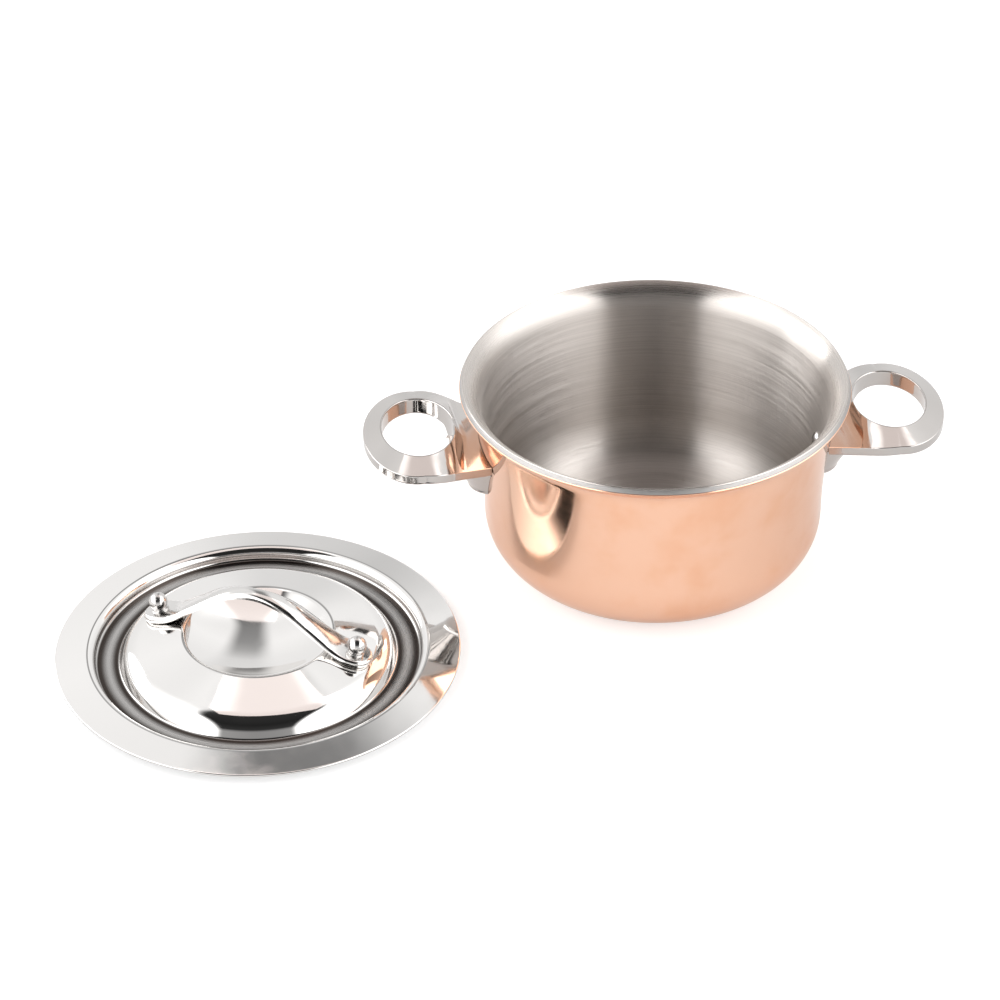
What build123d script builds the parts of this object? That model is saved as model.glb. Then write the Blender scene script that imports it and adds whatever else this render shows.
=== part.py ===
"""Two-handled copper pan with its lid lying beside it.

Millimetres, +Z up. The origin is the centre of the pan's flat base, on the table. The two
ring handles lie along X. The lid lies on the table to the left of the pan and nearer the
viewer, right side up, with its strap handle turned a little from X.
"""
import os
from math import acos, asin, atan2, cos, radians, sin, sqrt, tan

from build123d import *

# Pan body
pan_height = 62.3
base_flat_radius = 35.2
corner_radius = 17.3
belly_top = 17.7
lean_radius = 212.0
flare_radius = 8.2
lip_inset = 3.7

# Clad sheet, from the outside in
copper_thickness = 0.4
core_thickness = 1.3
lining_thickness = 0.5

# Ring handle, measured out from the pan's side and down from its rim
ring_offset = 18.4
ring_half_length = 19.0
ring_half_width = 23.8
shoulder_inset = 0.4
ring_top_drop = 12.0
bevel_height = 2.3
bevel_toe_inset = 3.4
ring_band = 3.2
hole_shift = 2.2
hole_half_length = 11.1
hole_half_width = 15.7
hole_land = 0.5
flank_turn = 112.0
neck_drop = 3.7
neck_rise = 1.4
neck_thickness = 1.6
foot_depth = 16.4
foot_inset = 1.9
foot_radius = 7.5
foot_collar = 1.8
foot_waist_radius = 11.0
foot_waist_rise = 8.0
foot_top_radius = 16.8
foot_round = 1.6
seat_clearance = 0.05

# Handle rivet
rivet_rise = 8.5
rivet_shank_radius = 2.0
rivet_head_radius = 2.9
rivet_head_rise = 1.5
rivet_pocket_radius = 3.1
rivet_grip = 3.0
rivet_tail_rise = 0.9
rivet_clearance = 0.03

# Lid sheet, pressed from one disc
lid_thickness = 0.9
lid_overhang = 1.3
flange_edge_height = 3.2
flange_slope = 8.5
plug_clearance = 2.79
plug_draft = 8.0
plug_round = 2.4
gutter_round = 1.0
gutter_width = 7.7
dome_foot_round = 0.8
dome_wall_run = 2.2
dome_shoulder_height = 4.7
dome_shoulder_round = 7.0
dome_slope = 13.5
dome_break_run = 2.9
dome_break_round = 8.0
crest_share = 0.538
crest_height = 9.75
crest_round = 3.0
dish_radius = 50.0
dish_flat_radius = 0.5

# Lid strap handle
strap_thickness = 2.0
strap_finger_room = 14.75
strap_crest_share = 0.819
strap_bend_inset = 4.5
strap_bend_share = 0.46
strap_reach_shares = (0.28, 0.6, 0.86)
strap_width_shares = (0.62, 0.77, 0.96)
strap_pad_radius = 5.3
strap_waist = 2.4
strap_pad_margin = 2.55
strap_seat = 0.05

# Ball rivets of the lid
ball_radius = 2.8
ball_neck_radius = 2.0
ball_neck_height = 0.7
ball_collar_radius = 2.6
ball_collar_height = 0.4
lid_shank_radius = 1.5
lid_tail_radius = 2.3
lid_tail_rise = 0.9
lid_tail_clearance = 0.12

# Where the lid lies: its gap to the rim and its bearing, from the pan's left towards the viewer
lid_gap = 12.29
lid_bearing = 19.41
strap_turn = -25.9

# Allowances for cuts
overrun = 2.0

wall_thickness = copper_thickness + core_thickness + lining_thickness
belly_radius = base_flat_radius + corner_radius
lean_centre = belly_radius + lean_radius
flare_rise = sqrt((flare_radius + wall_thickness) ** 2 - lip_inset**2)
flare_height = pan_height - flare_rise
flare_centre = lean_centre - sqrt((lean_radius - flare_radius) ** 2 - (flare_height - belly_top) ** 2)
rim_radius = flare_centre - lip_inset
flare_turn = atan2(flare_height - belly_top, lean_centre - flare_centre)

ring_centre = belly_radius + ring_offset
hole_centre = ring_centre + hole_shift
ring_top = pan_height - ring_top_drop
ridge_height = ring_top - bevel_height
ring_under = ridge_height - ring_band
neck_wall_height = ridge_height - neck_drop
neck_under = neck_wall_height - neck_thickness
neck_toe_height = neck_wall_height + neck_rise
foot_axis = belly_radius - foot_inset
foot_bottom = neck_wall_height - foot_depth
rivet_height = foot_bottom + rivet_rise


def wall_line(depth, lip):
    """Draws one face of the sheet, a given depth inside the pan, from its axis to a lip radius."""
    corner = (base_flat_radius, corner_radius)
    lean = lean_radius + depth
    flare = flare_radius + depth
    tangent = (lean_centre - lean * cos(flare_turn), belly_top + lean * sin(flare_turn))
    lip_point = (lip, flare_height + sqrt(flare**2 - (flare_centre - lip) ** 2))
    half_turn = flare_turn / 2
    lean_middle = (lean_centre - lean * cos(half_turn), belly_top + lean * sin(half_turn))
    lip_turn = acos((flare_centre - lip) / flare)
    middle_turn = (flare_turn + lip_turn) / 2
    flare_middle = (flare_centre - flare * cos(middle_turn), flare_height + flare * sin(middle_turn))
    Line((0, depth), (base_flat_radius, depth))
    CenterArc(corner, corner_radius - depth, 270, 90)
    Line((belly_radius - depth, corner_radius), (belly_radius - depth, belly_top))
    ThreePointArc((belly_radius - depth, belly_top), lean_middle, tangent)
    ThreePointArc(tangent, flare_middle, lip_point)
    return lip_point


def revolved_ply(outer_depth, inner_depth):
    """Makes the shell between two depths of the sheet, cut square at the lip."""
    with BuildPart() as shell:
        with BuildSketch(Plane.XZ):
            with BuildLine():
                outer_lip = wall_line(outer_depth, rim_radius)
                inner_lip = wall_line(inner_depth, rim_radius)
                Line(outer_lip, inner_lip)
                Line((0, outer_depth), (0, inner_depth))
            make_face()
        revolve(axis=Axis.Z)
    return shell.part


def wall_radius(height, depth):
    """Gives the radius of the leaning wall at a height, a given depth inside the pan."""
    return lean_centre - sqrt((lean_radius + depth) ** 2 - (height - belly_top) ** 2)


# Shapes that only guide cuts: all that lies inside the pan's outer face, and the wall itself
with BuildPart() as pan_outside:
    with BuildSketch(Plane.XZ):
        with BuildLine():
            seat_lip = wall_line(-seat_clearance, rim_radius)
            Line(seat_lip, (0, seat_lip[1]))
            Line((0, seat_lip[1]), (0, -seat_clearance))
        make_face()
    revolve(axis=Axis.Z)

whole_wall = revolved_ply(0, wall_thickness)

# The three plies of the pan, drilled for the two handle rivets
rivet_holes = Plane.YZ.offset(-rim_radius)
ply_faces = {
    "copper_shell": (0, copper_thickness),
    "aluminium_core": (copper_thickness, copper_thickness + core_thickness),
    "steel_lining": (copper_thickness + core_thickness, wall_thickness),
}
plies = {}
for ply_name, (outer_depth, inner_depth) in ply_faces.items():
    shell = revolved_ply(outer_depth, inner_depth)
    with BuildPart() as ply:
        add(shell)
        with BuildSketch(rivet_holes):
            with Locations((0, rivet_height)):
                Circle(rivet_shank_radius + rivet_clearance)
        extrude(amount=2 * rim_radius, mode=Mode.SUBTRACT)
    ply.part.label = ply_name
    plies[ply_name] = ply.part

# Right ring handle: a bevelled ring, a flat neck and a foot that flares down onto the wall
flank = radians(flank_turn)
shoulder_half_length = ring_half_length - shoulder_inset
flank_u = ring_centre + shoulder_half_length * cos(flank)
flank_v = ring_half_width * sin(flank)
flank_rate = ring_half_width * cos(flank) / (shoulder_half_length * sin(flank))
neck_start = belly_radius - wall_thickness
neck_half_width = flank_v + flank_rate * (flank_u - neck_start)
bevel_toe_radius = ring_half_length - bevel_toe_inset
bevel_centre = ring_centre + bevel_toe_inset
bevel_toe = bevel_centre - bevel_toe_radius
neck_middle = (neck_wall_height + neck_under) / 2
band_middle = (ridge_height + ring_under) / 2

pocket_floor = wall_radius(rivet_height, 0) + rivet_grip

# neck and shoulders between two straight flanks: the side view cut to the plan view
with BuildPart() as neck:
    with BuildSketch(Plane.XZ.offset(-ring_half_width)):
        with BuildLine():
            Polyline(
                (neck_start, neck_wall_height),
                (bevel_toe, neck_toe_height),
                (flank_u, ridge_height),
                (hole_centre, ridge_height),
                (hole_centre, ring_under),
                (flank_u, ring_under),
                (bevel_toe, neck_under + neck_rise),
                (neck_start, neck_under),
                close=True,
            )
        make_face()
    extrude(amount=2 * ring_half_width)
    with BuildSketch(Plane.XY.offset(foot_bottom)):
        with BuildLine():
            Polyline(
                (neck_start, -neck_half_width),
                (flank_u, -flank_v),
                (ring_centre, -flank_v),
                (ring_centre, flank_v),
                (flank_u, flank_v),
                (neck_start, neck_half_width),
                close=True,
            )
        make_face()
        with Locations((ring_centre, 0)):
            Ellipse(shoulder_half_length, ring_half_width)
    extrude(amount=ring_top - foot_bottom, mode=Mode.INTERSECT)

# riser under the pan side of the bevel, from the neck's underside up to the ridge
with BuildPart() as riser:
    with BuildSketch(Plane.XZ.offset(-ring_half_width)):
        with BuildLine():
            Polyline(
                (bevel_toe, ridge_height),
                (hole_centre, ridge_height),
                (hole_centre, ring_under),
                (flank_u, ring_under),
                (bevel_toe, neck_under + neck_rise),
                close=True,
            )
        make_face()
    extrude(amount=2 * ring_half_width)
    with BuildSketch(Plane.XY.offset(foot_bottom)):
        with Locations((bevel_centre, 0)):
            Ellipse(bevel_toe_radius, ring_half_width)
    extrude(amount=ring_top - foot_bottom, mode=Mode.INTERSECT)

# foot: a trumpet turned about an upright line just inside the wall, ending within the neck
with BuildPart() as foot:
    with BuildSketch(Plane.XZ):
        with BuildLine():
            foot_edge = foot_axis + foot_radius
            foot_top = (foot_axis + foot_top_radius, neck_wall_height)
            Polyline(
                foot_top,
                (foot_top[0], ring_top),
                (foot_axis, ring_top),
                (foot_axis, foot_bottom),
                (foot_edge, foot_bottom),
                (foot_edge, foot_bottom + foot_collar),
            )
            ThreePointArc(
                (foot_edge, foot_bottom + foot_collar),
                (foot_axis + foot_waist_radius, foot_bottom + foot_waist_rise),
                foot_top,
            )
        make_face()
    revolve(axis=Axis((foot_axis, 0, 0), (0, 0, 1)))
    with BuildSketch(Plane.XZ.offset(-ring_half_width)):
        with BuildLine():
            Polyline(
                (neck_start, neck_middle),
                (bevel_toe, neck_middle + neck_rise),
                (flank_u, band_middle),
                (ring_centre, band_middle),
                (ring_centre, foot_bottom),
                (neck_start, foot_bottom),
                close=True,
            )
        make_face()
    extrude(amount=2 * ring_half_width, mode=Mode.INTERSECT)
    fillet(foot.edges().group_by(Axis.Z)[0], foot_round)

with BuildPart() as right_handle:
    # ring band, from its underside up to the sharp outer ridge
    with BuildSketch(Plane.XY.offset(ring_under)):
        with Locations((bevel_centre, 0)):
            Ellipse(bevel_toe_radius, ring_half_width)
    extrude(amount=ridge_height - ring_under)
    # bevel, rising from the ridge to the edge of the finger hole
    with BuildSketch(Plane.XY.offset(ridge_height)):
        with Locations((bevel_centre, 0)):
            Ellipse(bevel_toe_radius, ring_half_width)
    with BuildSketch(Plane.XY.offset(ring_top)):
        with Locations((hole_centre, 0)):
            Ellipse(hole_half_length + hole_land, hole_half_width + hole_land)
    loft(ruled=True)
    add(neck.part)
    add(riser.part)
    add(foot.part)
    # finger hole, seat on the copper wall, rivet bore and the pocket for the rivet's tail
    with BuildSketch(Plane.XY.offset(foot_bottom)):
        with Locations((hole_centre, 0)):
            Ellipse(hole_half_length, hole_half_width)
    extrude(amount=ring_top - foot_bottom + overrun, mode=Mode.SUBTRACT)
    add(pan_outside.part, mode=Mode.SUBTRACT)
    with BuildSketch(Plane.YZ):
        with Locations((0, rivet_height)):
            Circle(rivet_shank_radius + rivet_clearance)
    extrude(amount=2 * rim_radius, mode=Mode.SUBTRACT)
    with BuildSketch(Plane.YZ.offset(pocket_floor)):
        with Locations((0, rivet_height)):
            Circle(rivet_pocket_radius)
    extrude(amount=2 * rim_radius, mode=Mode.SUBTRACT)
right_handle.part.label = "right_handle"

with BuildPart() as left_handle:
    mirror(right_handle.part, about=Plane.YZ)
left_handle.part.label = "left_handle"


def cap_middle(radius, rise):
    """Gives how deep below its top, and how far out, the middle of a domed cap's arc lies."""
    sphere = (radius**2 + rise**2) / (2 * rise)
    half_angle = asin(radius / sphere) / 2
    return sphere * (1 - cos(half_angle)), sphere * sin(half_angle)


def sheet_section(upper_points, upper_radii, thickness):
    """Draws a bent sheet: its upper face with round bends, its lower face parallel, its two ends."""
    corners = [Vector(*point) for point in upper_points]
    runs = [(end - start).normalized() for start, end in zip(corners, corners[1:])]
    downs = [Vector(run.Y, -run.X) for run in runs]
    lower_points = [corners[0] + downs[0] * thickness]
    lower_radii = []
    for corner, before, after, run, next_run, radius in zip(
        corners[1:], downs, downs[1:], runs, runs[1:], upper_radii
    ):
        lower_points.append(corner + (before + after) * (thickness / (1 + before.dot(after))))
        bends_up = run.cross(next_run).Z > 0
        lower_radii.append(radius + thickness if bends_up else radius - thickness)
    lower_points.append(corners[-1] + downs[-1] * thickness)
    FilletPolyline(*corners, radius=upper_radii)
    FilletPolyline(*lower_points, radius=lower_radii)
    Line(corners[0], lower_points[0])
    Line(corners[-1], lower_points[-1])


# Right handle rivet: domed head on the lining, shank through wall and foot, tail in its pocket
rivet_axis = Axis((0, 0, rivet_height), (1, 0, 0))
head_seat = wall_radius(rivet_height, wall_thickness)
head_depth, head_reach = cap_middle(rivet_head_radius, rivet_head_rise)
tail_depth, tail_reach = cap_middle(rivet_head_radius, rivet_tail_rise)

with BuildPart() as right_handle_rivet:
    with BuildSketch(Plane.XZ):
        with BuildLine():
            head_top = (head_seat - rivet_head_rise, rivet_height)
            head_edge = (head_seat, rivet_height + rivet_head_radius)
            head_back = (head_seat + wall_thickness / 2, rivet_height + rivet_head_radius)
            ThreePointArc(
                head_top,
                (head_top[0] + head_depth, rivet_height + head_reach),
                head_edge,
            )
            Polyline(head_edge, head_back, (head_back[0], rivet_height), head_top)
        make_face()
    revolve(axis=rivet_axis)
    add(whole_wall, mode=Mode.SUBTRACT)
    with BuildSketch(Plane.XZ):
        with BuildLine():
            tail_top = (pocket_floor + rivet_tail_rise, rivet_height)
            tail_edge = (pocket_floor, rivet_height + rivet_head_radius)
            shank_out = (pocket_floor, rivet_height + rivet_shank_radius)
            shank_in = (head_seat, rivet_height + rivet_shank_radius)
            ThreePointArc(
                tail_top,
                (tail_top[0] - tail_depth, rivet_height + tail_reach),
                tail_edge,
            )
            Polyline(tail_edge, shank_out, shank_in, (head_seat, rivet_height), tail_top)
        make_face()
    revolve(axis=rivet_axis)
right_handle_rivet.part.label = "right_handle_rivet"

with BuildPart() as left_handle_rivet:
    mirror(right_handle_rivet.part, about=Plane.YZ)
left_handle_rivet.part.label = "left_handle_rivet"

# The lid's flange ends a little outside the rim; the lid lies clear of the pan, its axis upright
lid_radius = rim_radius + lid_overhang
lid_distance = rim_radius + lid_gap + lid_radius
lid_x = -lid_distance * cos(radians(lid_bearing))
lid_y = -lid_distance * sin(radians(lid_bearing))

# The lid's own planes: its strap runs along the local x
along = (cos(radians(strap_turn)), sin(radians(strap_turn)), 0)
across = (-along[1], along[0], 0)
lid_foot = (lid_x, lid_y, 0)
lid_axis = Axis(lid_foot, (0, 0, 1))
lid_side = Plane(origin=lid_foot, x_dir=along, z_dir=(-across[0], -across[1], 0))
lid_plan = Plane(origin=lid_foot, x_dir=along, z_dir=(0, 0, 1))

# Lid sheet, drawn along its upper face from the middle of the dish to the flange's edge; its
# plug goes into the throat of the pan, where the wall begins to flare
throat_height = belly_top + lean_radius * sin(flare_turn)
plug_radius = wall_radius(throat_height, wall_thickness) - plug_clearance - lid_thickness
dome_foot_radius = plug_radius - gutter_width
dome_shoulder_radius = dome_foot_radius - dome_wall_run
dome_break_radius = dome_shoulder_radius - dome_break_run
crest_radius = dome_foot_radius * crest_share
dish_turn = asin((crest_radius - crest_round - dish_flat_radius) / dish_radius)
dish_corner = dish_flat_radius + dish_radius * tan(dish_turn / 2)
dish_floor = crest_height - (crest_radius - dish_corner) * tan(dish_turn)
dome_break_height = crest_height - (dome_break_radius - crest_radius) * tan(radians(dome_slope))
flange_top = flange_edge_height + (lid_radius - plug_radius) * tan(radians(flange_slope))
gutter_radius = plug_radius - (flange_top - lid_thickness) * tan(radians(plug_draft))

with BuildPart() as lid_sheet:
    with BuildSketch(lid_side):
        with BuildLine():
            sheet_section(
                (
                    (0, dish_floor),
                    (dish_corner, dish_floor),
                    (crest_radius, crest_height),
                    (dome_break_radius, dome_break_height),
                    (dome_shoulder_radius, dome_shoulder_height),
                    (dome_foot_radius, lid_thickness),
                    (gutter_radius, lid_thickness),
                    (plug_radius, flange_top),
                    (lid_radius, flange_edge_height),
                ),
                (
                    dish_radius,
                    crest_round,
                    dome_break_round,
                    dome_shoulder_round,
                    dome_foot_round,
                    gutter_round,
                    plug_round,
                ),
                lid_thickness,
            )
        make_face()
    revolve(axis=lid_axis)

# The strap's pads lie on the dome's cone, one ball rivet through the middle of each
pad_slope = radians(dome_slope)
pad_reach = dome_shoulder_radius - strap_pad_radius - strap_pad_margin
pad_stack = strap_thickness + strap_seat
pad_height = (
    crest_height - (pad_reach - crest_radius) * tan(pad_slope) + pad_stack / cos(pad_slope)
)


def pad_plane(side):
    """Gives the plane through a rivet: local x down the pad, local y out of it; side is 1 or -1."""
    origin = (lid_x + side * pad_reach * along[0], lid_y + side * pad_reach * along[1], pad_height)
    down = (side * cos(pad_slope) * along[0], side * cos(pad_slope) * along[1], -sin(pad_slope))
    return Plane(origin=origin, x_dir=down, z_dir=(-side * across[0], -side * across[1], 0))


def pad_top_plane(side):
    """Gives the plane of a pad's upper face, centred on its rivet."""
    upright = pad_plane(side)
    return Plane(origin=upright.origin, x_dir=upright.x_dir, z_dir=upright.y_dir)


with BuildPart() as lid_disc:
    add(lid_sheet.part)
    for side in (1, -1):
        with BuildSketch(pad_top_plane(side)):
            Circle(lid_shank_radius + rivet_clearance)
    extrude(amount=-(pad_stack + lid_thickness + overrun), mode=Mode.SUBTRACT)
lid_disc.part.label = "lid_disc"

# Strap handle: the side view of the arch cut to its waisted plan; each leg runs straight from
# its bend at the pad to where it touches the crest's arc
strap_crest_radius = strap_crest_share * pad_reach
strap_bend_radius = strap_bend_share * pad_reach
strap_crest_height = crest_height + strap_finger_room
bend_reach = pad_reach - strap_bend_inset
bend_height = pad_height + strap_bend_inset * tan(pad_slope)
crest_drop = strap_crest_radius + bend_height - strap_crest_height
strap_rise = asin(strap_crest_radius / sqrt(bend_reach**2 + crest_drop**2)) - atan2(crest_drop, bend_reach)
arch_apex = bend_height + bend_reach * tan(strap_rise)
strap_end = pad_reach + strap_pad_radius
strap_end_height = pad_height - strap_pad_radius * tan(pad_slope)

with BuildPart() as lid_handle:
    with BuildSketch(lid_side):
        with BuildLine():
            sheet_section(
                (
                    (-strap_end, strap_end_height),
                    (-bend_reach, bend_height),
                    (0, arch_apex),
                    (bend_reach, bend_height),
                    (strap_end, strap_end_height),
                ),
                (strap_bend_radius, strap_crest_radius, strap_bend_radius),
                strap_thickness,
            )
        make_face()
    extrude(amount=strap_pad_radius + overrun, both=True)
    with BuildSketch(lid_plan):
        with BuildLine():
            side_points = [
                (reach * pad_reach, width * strap_pad_radius)
                for reach, width in zip(strap_reach_shares, strap_width_shares)
            ]
            near_side = [(-x, y) for x, y in reversed(side_points)]
            edge_points = [
                (-pad_reach, strap_pad_radius),
                *near_side,
                (0, strap_waist),
                *side_points,
                (pad_reach, strap_pad_radius),
            ]
            Spline(*edge_points, tangents=[(1, 0), (1, 0)])
            Spline(*[(x, -y) for x, y in edge_points], tangents=[(1, 0), (1, 0)])
            CenterArc((pad_reach, 0), strap_pad_radius, -90, 180)
            CenterArc((-pad_reach, 0), strap_pad_radius, 90, 180)
        make_face()
    extrude(amount=arch_apex, mode=Mode.INTERSECT)
    for side in (1, -1):
        with BuildSketch(pad_top_plane(side)):
            Circle(lid_shank_radius + rivet_clearance)
    extrude(amount=-(pad_stack + overrun), mode=Mode.SUBTRACT)
lid_handle.part.label = "lid_handle"

# Ball-headed rivets of the lid: collar, neck and ball above the pad, domed tail under the sheet
ball_seat = sqrt(ball_radius**2 - ball_neck_radius**2)
ball_centre = ball_neck_height + ball_seat
lid_tail_seat = -(pad_stack + lid_thickness + lid_tail_clearance)
lid_tail_depth, lid_tail_reach = cap_middle(lid_tail_radius, lid_tail_rise)
lid_rivets = {}
for side, side_name in ((-1, "left"), (1, "right")):
    with BuildPart() as lid_rivet:
        with BuildSketch(pad_plane(side)):
            with BuildLine():
                tail_point = (0, lid_tail_seat - lid_tail_rise)
                ThreePointArc(
                    tail_point,
                    (lid_tail_reach, tail_point[1] + lid_tail_depth),
                    (lid_tail_radius, lid_tail_seat),
                )
                Polyline(
                    (lid_tail_radius, lid_tail_seat),
                    (lid_shank_radius, lid_tail_seat),
                    (lid_shank_radius, 0),
                    (ball_collar_radius, 0),
                    (ball_collar_radius, ball_collar_height),
                    (ball_neck_radius, ball_collar_height),
                    (ball_neck_radius, ball_neck_height),
                )
                ThreePointArc(
                    (ball_neck_radius, ball_neck_height),
                    (ball_radius, ball_centre),
                    (0, ball_centre + ball_radius),
                )
                Line((0, ball_centre + ball_radius), tail_point)
            make_face()
        rivet_plane = pad_plane(side)
        revolve(axis=Axis(rivet_plane.origin, rivet_plane.y_dir))
    lid_rivet.part.label = f"lid_ball_rivet_{side_name}"
    lid_rivets[lid_rivet.part.label] = lid_rivet.part

pieces = [
    *plies.values(),
    left_handle.part,
    right_handle.part,
    left_handle_rivet.part,
    right_handle_rivet.part,
    lid_disc.part,
    lid_handle.part,
    *lid_rivets.values(),
]
os.makedirs("parts", exist_ok=True)
for piece in pieces:
    export_step(piece, f"parts/{piece.label}.step")
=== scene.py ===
"""Copper pan with two ring handles and its steel lid, dressed in the CAD model's own frame."""

from math import acos, asin, atan2, ceil, cos, pi, radians, sin, sqrt, tan

import bmesh
import bpy
import numpy as np
from bpy.props import FloatProperty, FloatVectorProperty, PointerProperty
from mathutils import Matrix, Vector


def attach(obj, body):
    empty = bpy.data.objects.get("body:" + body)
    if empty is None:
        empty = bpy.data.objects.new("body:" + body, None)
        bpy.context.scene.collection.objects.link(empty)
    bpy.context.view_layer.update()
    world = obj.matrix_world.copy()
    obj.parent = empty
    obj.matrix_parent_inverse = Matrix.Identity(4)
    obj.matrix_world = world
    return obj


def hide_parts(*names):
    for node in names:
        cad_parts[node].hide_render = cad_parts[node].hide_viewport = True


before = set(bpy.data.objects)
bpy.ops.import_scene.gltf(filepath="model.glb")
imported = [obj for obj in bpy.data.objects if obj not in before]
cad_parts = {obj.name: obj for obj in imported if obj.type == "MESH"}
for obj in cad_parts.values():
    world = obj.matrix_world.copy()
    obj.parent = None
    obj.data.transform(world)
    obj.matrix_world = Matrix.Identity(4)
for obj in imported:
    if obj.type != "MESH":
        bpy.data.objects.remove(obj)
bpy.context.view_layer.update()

bl_info = {
    "name": "Copper pan with lid",
    "version": (1, 0, 0),
    "blender": (4, 5, 0),
    "location": "3D View > Sidebar > Copper pan",
    "description": "Builds a clad copper pan, its ring handles and its lid round a CAD frame",
    "category": "Object",
}

MM = 0.001
FAR = 1.0  # metres, farther than anything in the scene


def length(label, millimetres, description):
    """A length property whose default is given in millimetres."""
    return FloatProperty(
        name=label, description=description, default=millimetres * MM, unit="LENGTH", precision=5
    )


def turn(label, angle, description):
    """An angle property whose default is given in degrees."""
    return FloatProperty(
        name=label, description=description, default=radians(angle), subtype="ANGLE", unit="ROTATION"
    )


def share(label, value, description):
    """A plain number between 0 and 1."""
    return FloatProperty(name=label, description=description, default=value, min=0, max=1)


def linear(hex_colour):
    """Turns an sRGB hex colour into linear red, green, blue and alpha."""
    values = [int(hex_colour[i : i + 2], 16) / 255 for i in (1, 3, 5)]
    return [v / 12.92 if v <= 0.04045 else ((v + 0.055) / 1.055) ** 2.4 for v in values] + [1.0]


def colour(label, hex_colour, description):
    """A colour property whose default is given as an sRGB hex value."""
    return FloatVectorProperty(
        name=label,
        description=description,
        default=linear(hex_colour),
        size=4,
        subtype="COLOR",
        min=0,
        max=1,
    )


class PanSizes(bpy.types.PropertyGroup):
    """Section of the clad wall, measured on its copper side"""

    base_flat_radius: length("Base flat radius", 35.2, "Radius of the flat base")
    corner_radius: length("Corner radius", 17.3, "Radius of the turn from base to wall")
    belly_top: length("Belly top", 17.7, "Height at which the wall begins to lean out")
    lean_radius: length("Lean radius", 212.0, "Radius of the wall's slow outward curve")
    flare_radius: length("Flare radius", 8.2, "Radius of the flare under the rim")
    lip_inset: length("Lip inset", 3.7, "How far the lip stays inside the flare's centre")
    pan_height: length("Pan height", 62.3, "Height from the table to the top of the rim")
    copper: length("Copper thickness", 0.4, "Thickness of the outer copper ply")
    core: length("Core thickness", 1.3, "Thickness of the aluminium ply")
    lining: length("Lining thickness", 0.5, "Thickness of the inner steel ply")
    lip_round: length("Lip round", 0.22, "Rounding of the rim's cut edge")
    seam_round: length("Seam round", 0.07, "Rounding of the plies' edges where two of them meet")
    copper_round: length("Copper round", 0.112, "Rounding of the copper's outer edge at the rim")


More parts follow.
